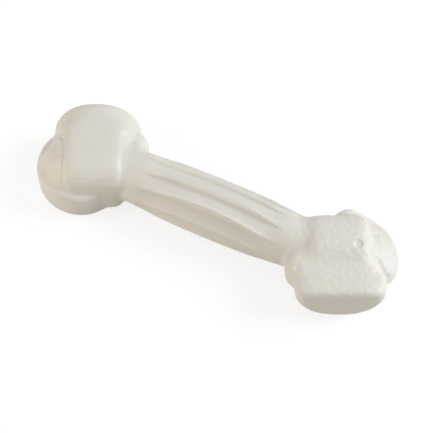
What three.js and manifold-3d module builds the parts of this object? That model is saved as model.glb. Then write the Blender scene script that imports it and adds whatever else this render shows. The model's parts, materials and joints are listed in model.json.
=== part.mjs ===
// Dog chew bone with a knotted head at each end. Millimetres, +Z up, +X along the shaft.
// The origin is on the table, under the middle of the shaft.

import * as THREE from 'three';
import { mergeVertices } from 'three/addons/utils/BufferGeometryUtils.js';
import Module from 'manifold-3d';

const wasm = await Module();
wasm.setup();

// Fit between neighbouring mouldings.
const GAP = 0.3;

// The underside of the loops is the face that the bone rests on.
const AXIS_HEIGHT = 15.8;

// Head frame: its origin is where strap and shaft cross, and the strap lies askew to the shaft.
const HEAD_X = 66.5;
const HEAD_ANGLE = THREE.MathUtils.degToRad(25);

// Shaft: a slim barrel with overlapping leaf-shaped ribs that fade out before the necks.
const BELLY_RADIUS = 15.2;
const NECK_RADIUS = 12.7;
const BARREL_INSET = 8.5;
const BARREL_FULLNESS = 1.5;
const SHOULDER_U = -11.5;
const RIB_COUNT = 10;
const RIB_HEIGHT = 2.2;
const RIB_HALF_LENGTH = 37;
const RIB_DROP = 0.37;
const RIB_TIP_DROP = 0.12;
const RIB_BOW = THREE.MathUtils.degToRad(5);
const RIB_START = THREE.MathUtils.degToRad(44);

// Button on a stub at each end of the shaft, held between strap and loop.
const STUB_RADIUS = 6;
const STUB_INSET = 26;
const BUTTON_RADIUS = 8;
const BUTTON_INSET = 10;
const BUTTON_LENGTH = 4.5;

// Strap: a wrap over the shaft end that drops and then spreads into a tail, cut off square.
// The tail is flat on one side and round on the other, and the left one is thicker.
const STRAP_U = -1;
const WRAP_FROM = -21.4;
const WRAP_HALF_BACK = 14.4;
const WRAP_HALF_FRONT = 15.8;
const WRAP_TOP = 15.6;
const WRAP_BOTTOM = 14.6;
const WRAP_POWER = 6.5;
const WRAP_CORNER_ROUND = 5;
const WRAP_BACK_ROUND = 12;
const WRAP_UNDER_ROUND = 4;
const DROP_FROM = 0;
const DROP_TO = 9;
const SPREAD_FROM = 4;
const SPREAD_TO = 16;
const TAIL_TO = 24.6;
const TAIL_HALF = 21.9;
const TAIL_WAIST = 5;
const TAIL_FLAT = 12.2;
const RIGHT_BELLY = 12.6;
const LEFT_BELLY = 15.4;
const TAIL_FLAT_POWER = 4;
const TAIL_BELLY_POWER = 2.1;
const TAIL_RIM_ROUND = 3.5;
const TAIL_CORNER_ROUND = 6;

// Knot: the rounded bight of the strap between the tail and the neck of the shaft.
const KNOT_CENTRE = [-15, 6.8, 2];
const KNOT_RADII = [12.2, 10, 10.4];
const KNOT_PLAN_POWER = 2.2;
const KNOT_FLAT_POWER = 4;
const KNOT_ROUND_POWER = 2.2;

// Dimple that the mould's inlet leaves on the right strap.
const DIMPLE_PLACE = [7.5, -1.3];
const DIMPLE_RADIUS = 2.2;
const DIMPLE_DEPTH = 0.6;

// Loop: the round outer turn of the knot, with a tongue that lies under the wrap.
// It tucks in behind the wrap at its inner end. The right loop lies lower beside its wrap than
// the left one. It humps up behind the wrap, and the left one a little further round.
const LOOP_U = 6.4;
const LOOP_T = -2.6;
const LOOP_RADIUS = 22.3;
const LOOP_CREST = 1.6;
const LOOP_EDGE = 3.4;
const TUCK_FROM = 23.2;
const TUCK_SLOPE = 0.52;
const RIGHT_DOME = 9.5;
const RIGHT_HUMP = 8.5;
const RIGHT_HUMP_ANGLE = THREE.MathUtils.degToRad(98);
const LEFT_DOME = 15.5;
const LEFT_HUMP = 3;
const LEFT_HUMP_ANGLE = THREE.MathUtils.degToRad(60);
const HUMP_POWER = 10;
const BEVEL_FROM = -1.5;
const BEVEL_SLOPE = 1;
const TONGUE_TO = 7.6;
const PEG_PLACE = [8.6, -12.2];
const PEG_RADIUS = 2;
const PEG_HEIGHT = 4;

const NYLON = new THREE.MeshStandardMaterial({ color: '#e2dccf', roughness: 0.48, metalness: 0 });

const upwards = [0, 0, 1];
const downwards = [0, 0, -1];
const tailwards = [0, -1, 0];
const backwards = [0, 1, 0];

function solid(geometry) {
  const plain = new THREE.BufferGeometry();
  plain.setAttribute('position', geometry.attributes.position);
  plain.setIndex(geometry.index);
  const merged = mergeVertices(plain, 1e-4);
  return new wasm.Manifold(new wasm.Mesh({
    numProp: 3,
    vertProperties: new Float32Array(merged.attributes.position.array),
    triVerts: new Uint32Array(merged.index.array),
  }));
}

function joined(...pieces) {
  return pieces.reduce((sum, piece) => sum.add(piece));
}

function without(body, ...cutters) {
  return cutters.reduce((rest, cutter) => rest.subtract(cutter), body);
}

// Closed skin through a row of rings, each ring an array of points with the same count.
function loft(rings) {
  const count = rings[0].length;
  const positions = rings.flat().flatMap((point) => [point.x, point.y, point.z]);
  const index = [];
  for (let i = 0; i + 1 < rings.length; i += 1) {
    for (let j = 0; j < count; j += 1) {
      const a = i * count + j;
      const b = i * count + (j + 1) % count;
      index.push(a, b, a + count, b, b + count, a + count);
    }
  }
  const last = (rings.length - 1) * count;
  for (let j = 1; j + 1 < count; j += 1) {
    index.push(0, j + 1, j);
    index.push(last, last + j, last + j + 1);
  }
  const geometry = new THREE.BufferGeometry();
  geometry.setAttribute('position', new THREE.Float32BufferAttribute(positions, 3));
  geometry.setIndex(index);
  return geometry;
}

// Rounded section across the strap at place t; the strap runs towards local -Y.
function strapRing(t, { halfWidth, waist, top, bottom, topPower, bottomPower }, count) {
  return Array.from({ length: count }, (_, k) => {
    const angle = (2 * Math.PI * (k + 0.5)) / count;
    const across = Math.cos(angle);
    const up = Math.sin(angle);
    const power = up > 0 ? topPower : bottomPower;
    const height = up > 0 ? top - waist : waist - bottom;
    return new THREE.Vector3(
      STRAP_U + halfWidth * Math.sign(across) * Math.abs(across) ** (2 / power),
      -t,
      waist + height * Math.sign(up) * Math.abs(up) ** (2 / power),
    );
  });
}

// How far a rounded end has drawn in at a given distance from its face.
function drawnIn(distance, radius) {
  if (distance >= radius) {
    return 0;
  }
  return radius - Math.sqrt(radius ** 2 - (radius - distance) ** 2);
}

// The strap's section at place t, before its ends are rounded.
// Side is 1 where the flat side of the tail is up, and -1 where it is down.
function strapSection(t, side, grow) {
  const { lerp, smoothstep, clamp } = THREE.MathUtils;
  const spread = smoothstep(t, SPREAD_FROM, SPREAD_TO);
  const drop = smoothstep(t, DROP_FROM, DROP_TO);
  const wrapShare = clamp((t - WRAP_FROM) / (SPREAD_FROM - WRAP_FROM), 0, 1);
  const wrapHalf = lerp(WRAP_HALF_BACK, WRAP_HALF_FRONT, wrapShare);
  const flat = { height: TAIL_FLAT, power: TAIL_FLAT_POWER };
  const bellyHeight = side > 0 ? RIGHT_BELLY : LEFT_BELLY;
  const belly = { height: bellyHeight, power: TAIL_BELLY_POWER };
  const [over, under] = side > 0 ? [flat, belly] : [belly, flat];
  return {
    halfWidth: lerp(wrapHalf, TAIL_HALF, spread) + grow,
    waist: side * TAIL_WAIST * spread,
    top: lerp(WRAP_TOP, over.height, drop) + grow,
    bottom: -lerp(WRAP_BOTTOM, under.height, drop) - grow,
    topPower: lerp(WRAP_POWER, over.power, spread),
    bottomPower: lerp(WRAP_POWER, under.power, spread),
  };
}

// Wrap and tail in one skin, rounded at both ends.
function strapBody(side, grow) {
  const from = WRAP_FROM - grow;
  const to = TAIL_TO + grow;
  const fromRound = { side: WRAP_CORNER_ROUND, top: WRAP_BACK_ROUND, under: WRAP_UNDER_ROUND };
  const toRound = { side: TAIL_CORNER_ROUND, top: TAIL_RIM_ROUND, under: TAIL_RIM_ROUND };
  const fromLength = Math.max(...Object.values(fromRound));
  const toLength = Math.max(...Object.values(toRound));
  const endShares = [0, 0.08, 0.28, 0.6, 1];
  const middleSteps = 10;
  const places = endShares.map((share) => from + share * fromLength);
  for (let i = 1; i < middleSteps; i += 1) {
    places.push(THREE.MathUtils.lerp(from + fromLength, to - toLength, i / middleSteps));
  }
  places.push(...endShares.toReversed().map((share) => to - share * toLength));
  return solid(loft(places.map((t) => {
    const section = strapSection(t, side, grow);
    const inset = (face) => drawnIn(t - from, fromRound[face]) + drawnIn(to - t, toRound[face]);
    return strapRing(t, {
      ...section,
      halfWidth: section.halfWidth - inset('side'),
      top: section.top - inset('top'),
      bottom: section.bottom + inset('under'),
    }, 40);
  })));
}

// Lobe that is round in plan, and flatter on the same side as the tail.
function knotBody(side, grow) {
  const geometry = new THREE.SphereGeometry(1, 28, 18);
  const position = geometry.attributes.position;
  const radii = KNOT_RADII.map((radius) => radius + grow);
  for (let k = 0; k < position.count; k += 1) {
    const point = [position.getX(k), position.getY(k), position.getZ(k)];
    const [x, y, z] = point.map(Math.abs);
    const plan = x ** KNOT_PLAN_POWER + y ** KNOT_PLAN_POWER;
    const profile = side * point[2] > 0 ? KNOT_FLAT_POWER : KNOT_ROUND_POWER;
    const sum = plan ** (profile / KNOT_PLAN_POWER) + z ** profile;
    const reach = sum ** (-1 / profile);
    position.setXYZ(k, ...point.map((part, axis) => part * reach * radii[axis]));
  }
  const [u, t, z] = KNOT_CENTRE;
  geometry.translate(u, -t, side * z);
  return solid(geometry);
}

// Ball that cuts the dimple: it meets the strap's top in a circle of the dimple's radius.
function dimple() {
  const ballRadius = (DIMPLE_RADIUS ** 2 + DIMPLE_DEPTH ** 2) / (2 * DIMPLE_DEPTH);
  const [u, t] = DIMPLE_PLACE;
  const geometry = new THREE.SphereGeometry(ballRadius, 48, 28);
  geometry.rotateX(Math.PI / 2);
  geometry.translate(u, -t, WRAP_TOP - DIMPLE_DEPTH + ballRadius);
  return solid(geometry);
}

// Turned disc with a flat underside, an upright wall and a domed top that rises behind the wrap.
// The underside is bevelled where the disc runs out beside the tail, and its inner end is cut
// aslant where it tucks in.
function loopDisc(side, grow) {
  const dome = side > 0 ? RIGHT_DOME : LEFT_DOME;
  const hump = side > 0 ? RIGHT_HUMP : LEFT_HUMP;
  const humpAngle = side > 0 ? RIGHT_HUMP_ANGLE : LEFT_HUMP_ANGLE;
  const edge = LOOP_EDGE + grow;
  const radius = LOOP_RADIUS + grow;
  const crest = LOOP_CREST + grow;
  const floor = -AXIS_HEIGHT - grow;
  const outline = [new THREE.Vector2(0, floor)];
  for (const turn of [-90, -60, -30, 0]) {
    const angle = THREE.MathUtils.degToRad(turn);
    outline.push(new THREE.Vector2(
      radius - edge + edge * Math.cos(angle),
      floor + edge + edge * Math.sin(angle),
    ));
  }
  for (const turn of [0, 30, 60, 90]) {
    const angle = THREE.MathUtils.degToRad(turn);
    outline.push(new THREE.Vector2(
      radius - edge + edge * Math.cos(angle),
      crest - edge + edge * Math.sin(angle),
    ));
  }
  for (const share of [0.75, 0.5, 0.25, 0]) {
    const rise = (dome - LOOP_CREST) * (1 - share ** 2);
    outline.push(new THREE.Vector2((radius - edge) * share, crest + rise));
  }
  const geometry = new THREE.LatheGeometry(outline, 44);
  geometry.rotateX(Math.PI / 2);
  const position = geometry.attributes.position;
  for (let k = 0; k < position.count; k += 1) {
    const [x, y, z] = [position.getX(k), position.getY(k), position.getZ(k)];
    const facing = Math.cos(Math.atan2(y, x) - humpAngle);
    const share = Math.hypot(x, y) / radius;
    if (z > crest - edge - 1e-6 && facing > 0) {
      position.setZ(k, z + hump * facing ** HUMP_POWER * share ** 2);
    }
  }
  geometry.translate(LOOP_U, -LOOP_T, 0);
  const bevel = [0, BEVEL_SLOPE, 1];
  const bevelAt = (floor - BEVEL_SLOPE * BEVEL_FROM) / Math.hypot(...bevel);
  const tuck = [TUCK_SLOPE, -1, 0];
  const tuckAt = -TUCK_FROM / Math.hypot(...tuck) - grow;
  return solid(geometry).trimByPlane(bevel, bevelAt).trimByPlane(tuck, tuckAt);
}

function peg(grow) {
  const height = PEG_HEIGHT + grow + GAP;
  const geometry = new THREE.CylinderGeometry(PEG_RADIUS + grow, PEG_RADIUS + grow, height, 16);
  geometry.rotateX(Math.PI / 2);
  geometry.translate(PEG_PLACE[0], -PEG_PLACE[1], height / 2 - GAP);
  return solid(geometry);
}

// Stub and button along the shaft, from the neck into the right head, in the frame of the shaft.
function button(grow) {
  const stubFrom = HEAD_X - STUB_INSET;
  const buttonFrom = HEAD_X - BUTTON_INSET - grow;
  const buttonTo = HEAD_X - BUTTON_INSET + BUTTON_LENGTH + grow;
  const outline = [
    new THREE.Vector2(0, stubFrom),
    new THREE.Vector2(STUB_RADIUS + grow, stubFrom),
    new THREE.Vector2(STUB_RADIUS + grow, buttonFrom),
    new THREE.Vector2(BUTTON_RADIUS + grow, buttonFrom),
    new THREE.Vector2(BUTTON_RADIUS + grow, buttonTo),
    new THREE.Vector2(0, buttonTo),
  ];
  const geometry = new THREE.LatheGeometry(outline, 28);
  geometry.rotateZ(-Math.PI / 2);
  return solid(geometry);
}

// Skin points over one rib: a slow rise, a short flank up to the crest, and a rounded drop.
// Each gives its place as a share of the rib's pitch, and how high it stands.
function ribPoints(width) {
  const drop = Math.max(RIB_DROP * width, RIB_TIP_DROP);
  const crest = 1 - drop;
  return [
    [0, 0],
    [crest * 0.4, 0.2],
    [crest * 0.75, 0.42],
    [crest * 0.93, 0.82],
    [crest, 1],
    [crest + drop * 0.35, 0.86],
    [crest + drop * 0.7, 0.4],
    [crest + drop * 0.93, 0.04],
  ];
}

function barrel() {
  const ribSteps = ribPoints(1).length;
  const stations = 22;
  const halfLength = HEAD_X - BARREL_INSET;
  const outline = [new THREE.Vector2(0, -halfLength)];
  for (let i = 0; i <= stations; i += 1) {
    const share = (2 * i) / stations - 1;
    const belly = Math.cos((share * Math.PI) / 2) ** BARREL_FULLNESS;
    const radius = THREE.MathUtils.lerp(NECK_RADIUS, BELLY_RADIUS, belly);
    outline.push(new THREE.Vector2(radius, share * halfLength));
  }
  outline.push(new THREE.Vector2(0, halfLength));
  const around = RIB_COUNT * ribSteps;
  const pitch = (2 * Math.PI) / RIB_COUNT;
  const geometry = new THREE.LatheGeometry(outline, around);
  const position = geometry.attributes.position;
  for (let k = 0; k < position.count; k += 1) {
    const ring = Math.floor(k / outline.length) % around;
    const { x: radius, y: along } = outline[k % outline.length];
    const tipShare = Math.min(1, Math.abs(along) / RIB_HALF_LENGTH);
    const [place, height] = ribPoints(1 - tipShare ** 2)[ring % ribSteps];
    const bow = RIB_BOW * tipShare ** 2;
    const angle = RIB_START + bow + pitch * (Math.floor(ring / ribSteps) + place);
    const depth = RIB_HEIGHT * (1 - height) * Math.sqrt(1 - tipShare ** 4);
    const reach = radius === 0 ? 0 : radius - depth;
    position.setXYZ(k, along, -reach * Math.sin(angle), reach * Math.cos(angle));
  }
  return solid(geometry);
}

// From the head frame to the shaft frame, for the right head.
function seated(body) {
  return body
    .rotate([0, 0, THREE.MathUtils.radToDeg(HEAD_ANGLE)])
    .translate([HEAD_X, 0, 0]);
}

function aboutMiddle(body) {
  return body.rotate([0, 0, 180]);
}

// One head as three solids: its strap, its loop, and the room that it takes from the shaft.
// Strap and loop lap at the height of the shaft's axis, as far as the end of the tongue.
function head(side) {
  const skin = strapBody(side, 0);
  const skinRoom = strapBody(side, GAP);
  const knotRoom = knotBody(side, GAP);
  const lapEnd = TONGUE_TO + GAP;
  const tongue = skin.trimByPlane(downwards, GAP).trimByPlane(backwards, -TONGUE_TO);
  const tongueRoom = skinRoom.trimByPlane(downwards, 0).trimByPlane(backwards, -lapEnd);
  const strap = without(
    joined(skin, knotBody(side, 0)),
    tongueRoom,
    peg(GAP),
  );
  const strapRoom = joined(
    skinRoom.trimByPlane(upwards, -GAP),
    skinRoom.trimByPlane(tailwards, TONGUE_TO),
    knotRoom,
  );
  const loop = joined(without(loopDisc(side, 0), strapRoom), without(tongue, knotRoom), peg(0));
  const room = joined(skinRoom, knotRoom, loopDisc(side, GAP));
  return {
    strap: without(seated(strap), button(GAP)),
    loop: without(seated(loop), button(GAP)),
    room: seated(room),
  };
}

const right = head(1);
const left = head(-1);
const shoulder = [-Math.cos(HEAD_ANGLE), -Math.sin(HEAD_ANGLE), 0];
const shoulderAt = -SHOULDER_U - HEAD_X * Math.cos(HEAD_ANGLE);
const shaftBarrel = without(barrel(), right.room, aboutMiddle(left.room))
  .trimByPlane(shoulder, shoulderAt)
  .trimByPlane(shoulder.map((part) => -part), shoulderAt);
const shaft = joined(shaftBarrel, button(0), aboutMiddle(button(0)));

function mesh(name, body) {
  const { numProp, vertProperties, triVerts } = body.translate([0, 0, AXIS_HEIGHT]).getMesh();
  const positions = [];
  for (let k = 0; k < vertProperties.length; k += numProp) {
    positions.push(vertProperties[k], vertProperties[k + 1], vertProperties[k + 2]);
  }
  const geometry = new THREE.BufferGeometry();
  geometry.setAttribute('position', new THREE.Float32BufferAttribute(positions, 3));
  geometry.setIndex(Array.from(triVerts));
  geometry.computeVertexNormals();
  const part = new THREE.Mesh(geometry, NYLON);
  part.name = name;
  return part;
}

const bone = new THREE.Group();
bone.name = 'dog_chew_bone';
bone.add(
  mesh('shaft', shaft),
  mesh('right_loop', right.loop),
  mesh('right_strap', without(right.strap, seated(dimple()))),
  mesh('left_loop', aboutMiddle(left.loop)),
  mesh('left_strap', aboutMiddle(left.strap)),
);

export default bone;
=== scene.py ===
import json
import math

import bpy
import numpy
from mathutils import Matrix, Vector
from mathutils.bvhtree import BVHTree

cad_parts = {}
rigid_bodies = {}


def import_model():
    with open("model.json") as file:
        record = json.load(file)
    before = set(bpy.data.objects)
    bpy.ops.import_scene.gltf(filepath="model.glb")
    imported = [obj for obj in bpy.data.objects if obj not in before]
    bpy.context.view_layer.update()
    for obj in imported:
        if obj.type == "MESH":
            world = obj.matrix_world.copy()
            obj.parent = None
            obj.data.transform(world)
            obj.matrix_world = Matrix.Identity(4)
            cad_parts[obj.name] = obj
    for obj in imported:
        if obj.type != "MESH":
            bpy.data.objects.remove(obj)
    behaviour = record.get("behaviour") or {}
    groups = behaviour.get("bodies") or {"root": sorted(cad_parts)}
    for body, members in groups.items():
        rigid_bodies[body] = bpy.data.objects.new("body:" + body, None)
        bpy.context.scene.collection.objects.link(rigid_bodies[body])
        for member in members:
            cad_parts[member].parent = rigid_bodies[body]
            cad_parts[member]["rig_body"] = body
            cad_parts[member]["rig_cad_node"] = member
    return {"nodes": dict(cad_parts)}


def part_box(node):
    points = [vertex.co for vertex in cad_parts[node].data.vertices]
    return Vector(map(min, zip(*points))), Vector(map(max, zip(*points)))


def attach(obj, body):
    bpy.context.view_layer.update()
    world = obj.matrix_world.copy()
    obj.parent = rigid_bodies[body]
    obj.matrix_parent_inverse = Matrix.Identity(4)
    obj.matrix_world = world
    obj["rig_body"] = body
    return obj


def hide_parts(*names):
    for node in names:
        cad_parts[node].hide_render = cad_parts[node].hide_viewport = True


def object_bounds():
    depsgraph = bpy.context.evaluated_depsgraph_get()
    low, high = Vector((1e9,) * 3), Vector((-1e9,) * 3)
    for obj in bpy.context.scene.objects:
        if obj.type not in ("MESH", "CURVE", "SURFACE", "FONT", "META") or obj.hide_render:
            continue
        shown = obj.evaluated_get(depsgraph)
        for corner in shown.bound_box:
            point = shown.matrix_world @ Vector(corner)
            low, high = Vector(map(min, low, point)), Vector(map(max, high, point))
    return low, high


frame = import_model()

cad_low, cad_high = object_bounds()

# Corner of the left loop's tongue: nylon, moulded in one with the loop, under the head.
# It closes the gap that the solids leave open there between loop, strap and shaft.
# Places are in a head's own frame: u away from the shaft, t towards the end of the tail.
MM = 0.001
RIGHT = 1
LEFT = -1
HEAD_X = 66.5 * MM
HEAD_ANGLE = math.radians(25)


def mm(*sizes):
    """Sizes in millimetres, as metres."""
    return tuple(size * MM for size in sizes)


CORNER_PLAN = (mm(-15.2, 2.5), mm(-14.4, 7.3), mm(-8.5, 7.3))
CORNER_LOW = 3.1 * MM
CORNER_HIGH = 13 * MM


def on_plan(side, u, t):
    """The x and y of a place on the right or left head."""
    x = HEAD_X + u * math.cos(HEAD_ANGLE) + t * math.sin(HEAD_ANGLE)
    y = u * math.sin(HEAD_ANGLE) - t * math.cos(HEAD_ANGLE)
    return side * x, side * y


bpy.ops.object.select_all(action="DESELECT")
bpy.ops.mesh.primitive_cylinder_add(vertices=len(CORNER_PLAN), radius=MM, depth=MM)
corner = bpy.context.active_object
for index, vertex in enumerate(corner.data.vertices):
    height = CORNER_HIGH if vertex.co.z > 0 else CORNER_LOW
    vertex.co = (*on_plan(LEFT, *CORNER_PLAN[index // 2]), height)
bpy.ops.object.mode_set(mode="EDIT")
bpy.ops.mesh.select_all(action="SELECT")
bpy.ops.mesh.normals_make_consistent(inside=False)
bpy.ops.object.mode_set(mode="OBJECT")

# Guide skin: the outside of the whole bone as one body, in the shape that the mould gives it.
# All five solids are grown until they meet, drawn in fine faces and shrunk back again.
# Easing takes the facets off and fills the creases; the pieces take their outside from it.
GUIDE_VOXEL = 0.36 * MM
GUIDE_GROWTH = 0.35 * MM
MERGE_DISTANCE = 0.001 * MM
EASING_SHARE = 0.5
RIB_EASING = 1
HEAD_EASING = 80
HEAD_START = mm(24, 36)


def only(obj):
    """Leaves obj the one selected and active object."""
    bpy.ops.object.select_all(action="DESELECT")
    obj.select_set(True)
    bpy.context.view_layer.objects.active = obj


def apply_modifier(obj, kind, **settings):
    only(obj)
    bpy.ops.object.modifier_add(type=kind)
    modifier = obj.modifiers[-1]
    for name, value in settings.items():
        setattr(modifier, name, value)
    bpy.ops.object.modifier_apply(modifier=modifier.name)


def solid_copy(node, name):
    """Copy of a node's solid with its corners merged; the left loop's gets its tongue's corner."""
    copy = frame["nodes"][node].copy()
    copy.data = copy.data.copy()
    copy.parent = None
    copy.name = name
    copy.data.name = name
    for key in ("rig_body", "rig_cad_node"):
        del copy[key]
    bpy.context.scene.collection.objects.link(copy)
    only(copy)
    bpy.ops.object.mode_set(mode="EDIT")
    bpy.ops.mesh.select_all(action="SELECT")
    bpy.ops.mesh.remove_doubles(threshold=MERGE_DISTANCE)
    bpy.ops.object.mode_set(mode="OBJECT")
    if node == "left_loop":
        apply_modifier(copy, "BOOLEAN", object=corner, operation="UNION", solver="EXACT")
    return copy


grown = [solid_copy(node, "guide_" + node) for node in frame["nodes"]]
for solid in grown:
    apply_modifier(solid, "DISPLACE", strength=GUIDE_GROWTH, mid_level=0)
only(grown[0])
for solid in grown:
    solid.select_set(True)
bpy.ops.object.join()
guide = bpy.context.active_object
apply_modifier(guide, "REMESH", mode="VOXEL", voxel_size=GUIDE_VOXEL, adaptivity=0)
apply_modifier(guide, "DISPLACE", strength=-GUIDE_GROWTH, mid_level=0)


def guide_points(kind):
    """The guide's corners as an array of their places or normals."""
    values = numpy.empty(3 * len(guide.data.vertices))
    guide.data.vertices.foreach_get(kind, values)
    return values.reshape(-1, 3)


def ramp(values, start, full):
    """Weights that grow evenly from none at the start to one at the full value."""
    return numpy.clip((values - start) / (full - start), 0, 1)


def weigh(name, weights):
    """Gives the guide a vertex group with one weight for each corner."""
    group = guide.vertex_groups.new(name=name)
    for index in numpy.flatnonzero(weights > 0):
        group.add([int(index)], weights[index], "REPLACE")


def ease(name, weights, iterations):
    weigh(name, weights)
    apply_modifier(
        guide, "SMOOTH", factor=EASING_SHARE, iterations=iterations, vertex_group=name,
    )


heads = ramp(numpy.abs(guide_points("co")[:, 0]), *HEAD_START)
apply_modifier(guide, "SMOOTH", factor=EASING_SHARE, iterations=RIB_EASING)
ease("heads", heads, HEAD_EASING)

# Folds of the knots: where one turn lies on the next, the mould has soft valleys.
# They are filled on the guide by easing it and keeping only what rises, so ridges stay.
# The steps across the straps and the corner under the left head are eased both ways.
NECK = mm(-10, -14)
NECK_FILLING = 300
RIM = mm(16.5, 18.5)
RIM_FILLING = 150
STEP_MIDDLE = 5 * MM
STEP_ACROSS = mm(19, 16)
STEP_ALONG = mm(14, 10)
STEP_EASING = 250
EDGE_ACROSS = mm(11, 13, 19, 21)
EDGE_ALONG = mm(-16, -12, 12, 16)
EDGE_FILLING = 80
CORNER_MIDDLE = mm(-12.5, 5.5)
CORNER_AROUND = mm(11, 8)
CORNER_BELOW = mm(9, 7)
CORNER_EASING = 150


def head_places(places):
    """The u and t of points, each on the head that it is nearer to."""
    side = numpy.sign(places[:, 0])
    x = side * places[:, 0] - HEAD_X
    y = side * places[:, 1]
    u = x * math.cos(HEAD_ANGLE) + y * math.sin(HEAD_ANGLE)
    t = x * math.sin(HEAD_ANGLE) - y * math.cos(HEAD_ANGLE)
    return u, t


def move_guide(places):
    guide.data.vertices.foreach_set("co", places.ravel())
    guide.data.update()


def fill_valleys(name, weights, iterations):
    before = guide_points("co")
    outwards = guide_points("normal")
    ease(name, weights, iterations)
    after = guide_points("co")
    risen = numpy.einsum("ij,ij->i", after - before, outwards) > 0
    move_guide(numpy.where(risen[:, None], after, before))


def band(values, start, full, fading, end):
    """Weights that grow to one, stay there and fade out again."""
    return numpy.interp(values, (start, full, fading, end), (0, 1, 1, 0))


on_head = ramp(numpy.abs(guide_points("co")[:, 0]), *HEAD_START)
on_right = guide_points("co")[:, 0] > 0
u, t = head_places(guide_points("co"))
fill_valleys("necks", on_head * ramp(u, *NECK), NECK_FILLING)
fill_valleys("rims", on_head * ramp(u, *RIM), RIM_FILLING)
step = ramp(numpy.abs(u), *STEP_ACROSS) * ramp(numpy.abs(t - STEP_MIDDLE), *STEP_ALONG)
ease("steps", on_head * step, STEP_EASING)
edge = band(u, *EDGE_ACROSS) * band(t, *EDGE_ALONG)
fill_valleys("edges", on_right * on_head * edge, EDGE_FILLING)
around = ramp(numpy.hypot(u - CORNER_MIDDLE[0], t - CORNER_MIDDLE[1]), *CORNER_AROUND)
below = ramp(guide_points("co")[:, 2], *CORNER_BELOW)
ease("corner", ~on_right * around * below, CORNER_EASING)

# Slopes of the knots: the wraps run down to the shaft and to the loops in long, bent slopes.
# They are laid on the guide's top between two lines on it, raise it there, and are then eased.
SLOPE_ROWS = numpy.arange(-30, 30.1, 0.5) * MM
MOST_RISE = 3 * MM
SLOPES_ABOVE = mm(16, 20)
NECK_SLOPES = mm(-14, -17)
LEFT_FLANK = mm(10, 12)
SLOPE_EASING = 40
CLEAR_OF_TOP = 1 * MM


def guide_faces():
    return BVHTree.FromObject(guide, bpy.context.evaluated_depsgraph_get())


def on_skin(tree, side, u, t):
    """The point of the guide's top at a place on the right or left head."""
    above = Vector((*on_plan(side, u, t), cad_high.z + CLEAR_OF_TOP))
    return tree.ray_cast(above, Vector((0, 0, -1)))[0]


def lay_slope(side, along, ends, bend, height, across, within):
    """Raises a head's top to a slope between two ends along u or t.

    The weight grows over the height, and across u, t or y it stays within the given band.
    """
    tree = guide_faces()
    lines = []
    for end in ends:
        line = [(end, row) if along == "u" else (row, end) for row in SLOPE_ROWS]
        spots = [on_skin(tree, side, u, t) for u, t in line]
        lines.append([spot.z if spot is not None else 0 for spot in spots])
    places = guide_points("co")
    u, t = head_places(places)
    measures = {"u": u, "t": t, "y": places[:, 1]}
    share = ramp(measures[along], *ends)
    row = t if along == "u" else u
    first, last = (numpy.interp(row, SLOPE_ROWS, line) for line in lines)
    slope = first + (last - first) * share ** bend
    inside = (share > 0) & (share < 1) & (side * places[:, 0] > 0)
    weights = ramp(places[:, 2], *height) * band(measures[across], *within)
    places[:, 2] += numpy.clip(slope - places[:, 2], 0, MOST_RISE) * inside * weights
    move_guide(places)


# Right neck, over the shaft's axis
lay_slope(
    RIGHT, along="u", ends=mm(-19, -11), bend=1.3,
    height=mm(18, 22), across="y", within=mm(-12, -8, 8, 12),
)
# Left wrap, down to the loop
lay_slope(
    LEFT, along="u", ends=mm(10, 22), bend=1.6,
    height=mm(18, 22), across="t", within=mm(-11, -8, 7, 10),
)
# Left loop, out to its rim
lay_slope(
    LEFT, along="u", ends=mm(18, 28), bend=1.3,
    height=mm(15.5, 17), across="t", within=mm(-17, -12, 8, 12),
)
# Left neck, beside the knot
lay_slope(
    LEFT, along="t", ends=mm(-8, 7), bend=1.4,
    height=mm(18, 21), across="u", within=mm(-27, -23, -15, -13),
)
u, t = head_places(guide_points("co"))
upper = ramp(guide_points("co")[:, 2], *SLOPES_ABOVE)
slopes = ramp(u, *NECK_SLOPES) + ramp(u, *LEFT_FLANK) * ~on_right
ease("slopes", on_head * upper * slopes, SLOPE_EASING)

# Ribs: each leaf on the shaft ends below in a rounded lip with a bead, over a sharp groove.
# They follow the crest and the foot of the solid's ribs, and run out at the leaf's tips.
# The flank is the solid's own, in shares of the drop, and the lip is rounded out over it.
RIB_COUNT = 10
RIB_PITCH = 2 * math.pi / RIB_COUNT
RIB_START = math.radians(44)
RIB_BOW = math.radians(5)
RIB_HALF_LENGTH = 37 * MM
RIB_DROP = 0.37
RIB_TIP_DROP = 0.12
FLANK_DOWN = (0, 0.35, 0.7, 0.93, 1)
FLANK_HEIGHT = (1, 0.86, 0.4, 0.04, 0)
LIP_HEIGHT = 2.2 * MM
LIP_FULLNESS = 2.5
BEAD_HEIGHT = 0.35 * MM
BEAD_WIDTH = 0.7 * MM
GROOVE_DEPTH = 0.6 * MM
GROOVE_WIDTH = 0.7 * MM

shaft_low, shaft_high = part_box("shaft")
axis_height = (shaft_low.z + shaft_high.z) / 2
places = guide_points("co")
above = places[:, 2] - axis_height
reach = numpy.hypot(places[:, 1], above)
angle = numpy.arctan2(-places[:, 1], above)
tip = numpy.clip(numpy.abs(places[:, 0]) / RIB_HALF_LENGTH, 0, 1)
turn = ((angle - RIB_START - RIB_BOW * tip ** 2) / RIB_PITCH) % 1
drop = numpy.maximum(RIB_DROP * (1 - tip ** 2), RIB_TIP_DROP)
from_crest = (turn - 1 + drop) * RIB_PITCH * reach
from_foot = numpy.minimum(turn, 1 - turn) * RIB_PITCH * reach
down = numpy.clip((turn - 1 + drop) / drop, 0, 1)
rounded = (1 - down ** LIP_FULLNESS) ** (1 / LIP_FULLNESS)
lift = LIP_HEIGHT * (rounded - numpy.interp(down, FLANK_DOWN, FLANK_HEIGHT))
lift += BEAD_HEIGHT * numpy.exp(-(from_crest / BEAD_WIDTH) ** 2)
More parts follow.
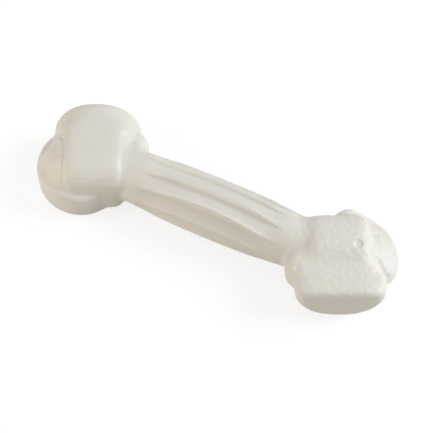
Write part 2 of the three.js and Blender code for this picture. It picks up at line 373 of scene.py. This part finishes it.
lift -= GROOVE_DEPTH * numpy.exp(-(from_foot / GROOVE_WIDTH) ** 2)
stretch = 1 + lift * numpy.sqrt(1 - tip ** 4) / reach
places[:, 1] *= stretch
places[:, 2] = axis_height + above * stretch
move_guide(places)

# Marks in the skin: the inlet's dimple, pits and a dent where folds meet, and fine creases.
# They are pressed into the guide from above, before the pieces are laid on it.
PATH_STEP = 0.5

bare_tree = guide_faces()


def press(side, points, half_width, depth, edge=None):
    """Presses a groove along the points, or a pit at a single one, with sizes in millimetres.

    The edge is the width of its wall. Without one, the wall reaches to the middle.
    """
    path = points[:1]
    for (u0, t0), (u1, t1) in zip(points, points[1:]):
        count = math.ceil(math.hypot(u1 - u0, t1 - t0) / PATH_STEP)
        shares = [i / count for i in range(1, count + 1)]
        path = path + [(u0 + (u1 - u0) * share, t0 + (t1 - t0) * share) for share in shares]
    spots = [numpy.array(on_skin(bare_tree, side, u * MM, t * MM)) for u, t in path]
    places = guide_points("co")
    near = numpy.min([numpy.linalg.norm(places - spot, axis=1) for spot in spots], axis=0)
    share = numpy.clip((half_width * MM - near) / ((edge or half_width) * MM), 0, 1)
    sunk = depth * MM * share ** 2 * (3 - 2 * share)
    move_guide(places - guide_points("normal") * sunk[:, None])


# Dimple of the inlet
press(RIGHT, [(7.5, -1.3)], half_width=2.6, depth=1.0, edge=1.3)
# Pits where the knots' folds meet beside the shaft
press(RIGHT, [(-21.6, 10.2)], half_width=2.2, depth=0.7)
press(LEFT, [(-16, 6)], half_width=2.2, depth=0.7)
# Dents on the right loop: at the back of the wrap, and along the tail's edge
press(RIGHT, [(14.6, -12), (17.5, -11)], half_width=2.2, depth=0.5)
press(RIGHT, [(14.8, 1.6), (18.6, 6.6), (22.6, 11.6)], half_width=3.6, depth=0.7)
# Creases of the left head: beside the loop, two over the front of the wrap, one at the tail
press(LEFT, [(13.8, -9), (14.2, -18)], half_width=1.0, depth=0.6)
press(LEFT, [(10.5, -12), (8, -10.8), (3, -10.6)], half_width=0.9, depth=0.22)
press(LEFT, [(7, -18.6), (2.7, -18.4), (-3, -16.9), (-9, -14.5)], half_width=0.9, depth=0.2)
press(LEFT, [(9, 5.2), (4.8, 5.6), (-4.5, 6.7)], half_width=1.2, depth=0.3)

# Skin of the right head: a mould that was left rougher there gives it a shallow, uneven face.
# The waves only go inwards, so the head keeps its size.
WAVE_LENGTH = 2.4 * MM
WAVE_DEPTH = 0.5 * MM
WAVE_DETAIL = 3
WAVES_START = mm(36, 44)
waves = bpy.data.textures.new("skin_waves", "CLOUDS")
waves.noise_scale = WAVE_LENGTH
waves.noise_depth = WAVE_DETAIL
weigh("right_skin", ramp(guide_points("co")[:, 0], *WAVES_START))
apply_modifier(
    guide, "DISPLACE", texture=waves, texture_coords="LOCAL",
    strength=WAVE_DEPTH, mid_level=1, vertex_group="right_skin",
)

# Shaft: the barrel that the dog holds, hard nylon from one mould, with leaf-shaped ribs.
# Its ends run in under the two straps, and it meets them in soft valleys.
PIECE_VOXEL = 0.42 * MM
PIECE_GROWTH = 0.6 * MM
SEAM_REACH = 0.9 * MM
SEAM_SUNK = 0.1 * MM
SEAM_FACING = -0.5
SKIN_DEPTH = 5 * MM
WALL_REACH = 9 * MM
WALL_TOP = 9 * MM
WALL_FACING = 0.5
EDGE_ANGLE = math.radians(50)
CLOUD_SIZE = 14 * MM
GRAIN_SIZE = 1.1 * MM
SMOOTH_GRAIN = 0.02 * MM
SCATTER_DEPTH = 2.5 * MM

guide_tree = guide_faces()
corner_place = Vector(on_plan(LEFT, *CORNER_MIDDLE))


def tree_of_others(node):
    """Search tree over the faces of every node but the given one; the corner is the left loop's."""
    solids = [solid for name, solid in frame["nodes"].items() if name != node]
    if node != "left_loop":
        solids.append(corner)
    corners = []
    faces = []
    for solid in solids:
        first = len(corners)
        corners += [vertex.co for vertex in solid.data.vertices]
        faces += [[first + i for i in face.vertices] for face in solid.data.polygons]
    return BVHTree.FromPolygons(corners, faces)


def behind_corner(place, normal, outwards):
    """Whether a place is on a wall that stands behind the filled corner."""
    near = (place.xy - corner_place).length < WALL_REACH and place.z < WALL_TOP
    return near and normal.dot(outwards) < WALL_FACING


def moulded(node, name):
    """A node's solid in fine, even faces: its outside lies on the guide and its seams are closed."""
    piece = solid_copy(node, name)
    apply_modifier(piece, "DISPLACE", strength=PIECE_GROWTH, mid_level=0)
    apply_modifier(piece, "REMESH", mode="VOXEL", voxel_size=PIECE_VOXEL, adaptivity=0)
    others = tree_of_others(node)
    moved = []
    for vertex in piece.data.vertices:
        place = vertex.co.copy()
        skin, outwards, _, apart = guide_tree.find_nearest(place)
        _, facing, _, _ = others.find_nearest(place, SEAM_REACH)
        if facing is not None and facing.dot(vertex.normal) < SEAM_FACING:
            if (place - skin).dot(outwards) > -SEAM_SUNK:
                place = skin - outwards * SEAM_SUNK
        elif apart < SKIN_DEPTH and not behind_corner(place, vertex.normal, outwards):
            place = skin
        moved.append(place)
    for vertex, place in zip(piece.data.vertices, moved):
        vertex.co = place
    only(piece)
    bpy.ops.object.shade_smooth_by_angle(angle=EDGE_ANGLE)
    return piece


def linear(hex_colour):
    """An sRGB hex colour as linear red, green, blue and alpha."""
    parts = [int(hex_colour[i:i + 2], 16) / 255 for i in (1, 3, 5)]
    return tuple(p / 12.92 if p <= 0.04045 else ((p + 0.055) / 1.055) ** 2.4 for p in parts) + (1,)


def add_node(tree, kind, inputs=None, **settings):
    """Adds a node with its settings; an input that is given a socket is linked to it."""
    made = tree.nodes.new(kind)
    for name, value in settings.items():
        setattr(made, name, value)
    for name, value in (inputs or {}).items():
        if isinstance(value, bpy.types.NodeSocket):
            tree.links.new(value, made.inputs[name])
        else:
            made.inputs[name].default_value = value
    return made


# Unfilled moulded nylon: ivory, a little translucent, satin from a fine-blasted mould.
# The eye gets a soft broad sheen, warm shadows and a faint unevenness of tone.
# The real grain is too fine to show, so it is drawn about a millimetre wide.
def moulded_nylon(name, grain_height):
    material = bpy.data.materials.new(name)
    material.use_nodes = True
    tree = material.node_tree
    tree.nodes.clear()
    place = add_node(tree, "ShaderNodeTexCoord").outputs["Object"]
    cloud = add_node(
        tree, "ShaderNodeTexNoise",
        {"Vector": place, "Scale": 1 / CLOUD_SIZE, "Detail": 3, "Roughness": 0.6},
    )
    tone = add_node(
        tree, "ShaderNodeMix",
        {"Factor": cloud.outputs["Fac"]},
        data_type="RGBA",
    )
    tone.inputs["A"].default_value = linear("#d7d3c8")
    tone.inputs["B"].default_value = linear("#dcd9d1")
    grain = add_node(
        tree, "ShaderNodeTexNoise",
        {"Vector": place, "Scale": 1 / GRAIN_SIZE, "Detail": 3, "Roughness": 0.55},
    )
    bump = add_node(
        tree, "ShaderNodeBump",
        {"Height": grain.outputs["Fac"], "Distance": grain_height, "Strength": 1},
    )
    rough = add_node(
        tree, "ShaderNodeMapRange",
        {"Value": grain.outputs["Fac"], "To Min": 0.42, "To Max": 0.56},
    )
    shader = add_node(
        tree, "ShaderNodeBsdfPrincipled",
        {
            "Base Color": tone.outputs["Result"],
            "Roughness": rough.outputs["Result"],
            "Normal": bump.outputs["Normal"],
            "IOR": 1.53,
            "Subsurface Weight": 0.15,
            "Subsurface Radius": (1.0, 0.7, 0.4),
            "Subsurface Scale": SCATTER_DEPTH,
        },
    )
    add_node(tree, "ShaderNodeOutputMaterial", {"Surface": shader.outputs["BSDF"]})
    return material


def finish_piece(piece, node, material):
    piece.data.materials.clear()
    piece.data.materials.append(material)
    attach(piece, "root")
    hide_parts(node)


smooth_nylon = moulded_nylon("moulded_nylon", SMOOTH_GRAIN)
finish_piece(moulded("shaft", "chew_shaft"), "shaft", smooth_nylon)

# Right head: strap and loop, moulded nylon with a rougher skin than the shaft's.
# The strap laps over the loop's tongue, and between them they hold the shaft's button.
ROUGH_GRAIN = 0.12 * MM
grained_nylon = moulded_nylon("moulded_nylon_grained", ROUGH_GRAIN)
for part in ("right_strap", "right_loop"):
    finish_piece(moulded(part, "knotted_" + part), part, grained_nylon)

# Left head: the same two pieces of nylon, with the round side of the tail up.
# They are joined as at the right, and their skin is as smooth as the shaft's.
for part in ("left_strap", "left_loop"):
    finish_piece(moulded(part, "knotted_" + part), part, smooth_nylon)
bpy.data.objects.remove(guide)
bpy.data.objects.remove(corner)

# Floor: a plain cream table that the bone lies on. It takes the bone's soft shadow.
# The camera and reflections see it as white paper, and it throws warm light under the bone.
FLOOR_SIDE = 4.0
PAPER_GLOW = 0.78
bpy.ops.object.select_all(action="DESELECT")
bpy.ops.mesh.primitive_plane_add(size=FLOOR_SIDE, location=(0, 0, 0))
floor = bpy.context.active_object
floor.name = "floor"
table = bpy.data.materials.new("cream_table")
table.use_nodes = True
table_tree = table.node_tree
table_tree.nodes.clear()
rays = add_node(table_tree, "ShaderNodeLightPath")
cream = add_node(table_tree, "ShaderNodeBsdfDiffuse", {"Color": linear("#d5cec3")})
pale = add_node(table_tree, "ShaderNodeBsdfDiffuse", {"Color": linear("#898989")})
glow = add_node(
    table_tree, "ShaderNodeEmission",
    {"Color": linear("#ffffff"), "Strength": PAPER_GLOW},
)
white = add_node(
    table_tree, "ShaderNodeAddShader",
    {0: pale.outputs["BSDF"], 1: glow.outputs["Emission"]},
)
looking = rays.outputs["Is Camera Ray"]
for kind in ("Is Glossy Ray", "Is Transmission Ray"):
    either = add_node(
        table_tree, "ShaderNodeMath",
        {0: looking, 1: rays.outputs[kind]},
        operation="MAXIMUM",
    )
    looking = either.outputs["Value"]
seen = add_node(
    table_tree, "ShaderNodeMixShader",
    {0: looking, 1: cream.outputs["BSDF"], 2: white.outputs["Shader"]},
)
add_node(table_tree, "ShaderNodeOutputMaterial", {"Surface": seen.outputs["Shader"]})
floor.data.materials.append(table)

# Studio: a soft, slightly cool lamp at the right and a weaker warm one, low at the left front.
# An even pale room fills the shadows.
ROOM_LIGHT = 0.44


def soft_lamp(name, place, side, power, hex_colour):
    lamp = bpy.data.lights.new(name, "AREA")
    lamp.shape = "SQUARE"
    lamp.size = side
    lamp.energy = power
    lamp.color = linear(hex_colour)[:3]
    holder = bpy.data.objects.new(name, lamp)
    holder.location = place
    holder.rotation_euler = (-Vector(place)).to_track_quat("-Z", "Y").to_euler()
    bpy.context.scene.collection.objects.link(holder)


soft_lamp("key_lamp", place=(0.87, 0.53, 0.66), side=0.7, power=12.8, hex_colour="#f3f8ff")
soft_lamp("fill_lamp", place=(-0.55, -0.467, 0.38), side=0.6, power=3.1, hex_colour="#fff2e2")

room = bpy.data.worlds.new("pale_room")
bpy.context.scene.world = room
room.use_nodes = True
room.node_tree.nodes.clear()
room_light = add_node(
    room.node_tree, "ShaderNodeBackground",
    {"Color": linear("#ffffff"), "Strength": ROOM_LIGHT},
)
add_node(room.node_tree, "ShaderNodeOutputWorld", {"Surface": room_light.outputs["Background"]})

# Camera: the photograph's view, from above and to the front right, with a long lens.
# The picture is shifted by a few pixels, so that the bone lies where it does in the photograph.
AZIMUTH = math.radians(25.2)
ELEVATION = math.radians(61)
DISTANCE = 0.68
HALF_VIEW = 0.106
PHOTO_SIDE = 433
SHIFT_RIGHT = 1.9
SHIFT_UP = -7.8
aim = Vector((0, 0, (cad_low.z + cad_high.z) / 2))
back = Vector((
    math.sin(AZIMUTH) * math.cos(ELEVATION),
    -math.cos(AZIMUTH) * math.cos(ELEVATION),
    math.sin(ELEVATION),
))
lens = bpy.data.cameras.new("camera")
lens.angle = 2 * math.atan(HALF_VIEW / DISTANCE)
lens.shift_x = SHIFT_RIGHT / PHOTO_SIDE
lens.shift_y = SHIFT_UP / PHOTO_SIDE
camera = bpy.data.objects.new("camera", lens)
camera.location = aim + back * DISTANCE
camera.rotation_euler = (-back).to_track_quat("-Z", "Y").to_euler()
bpy.context.scene.collection.objects.link(camera)
bpy.context.scene.camera = camera

bpy.context.scene.view_settings.view_transform = "Standard"
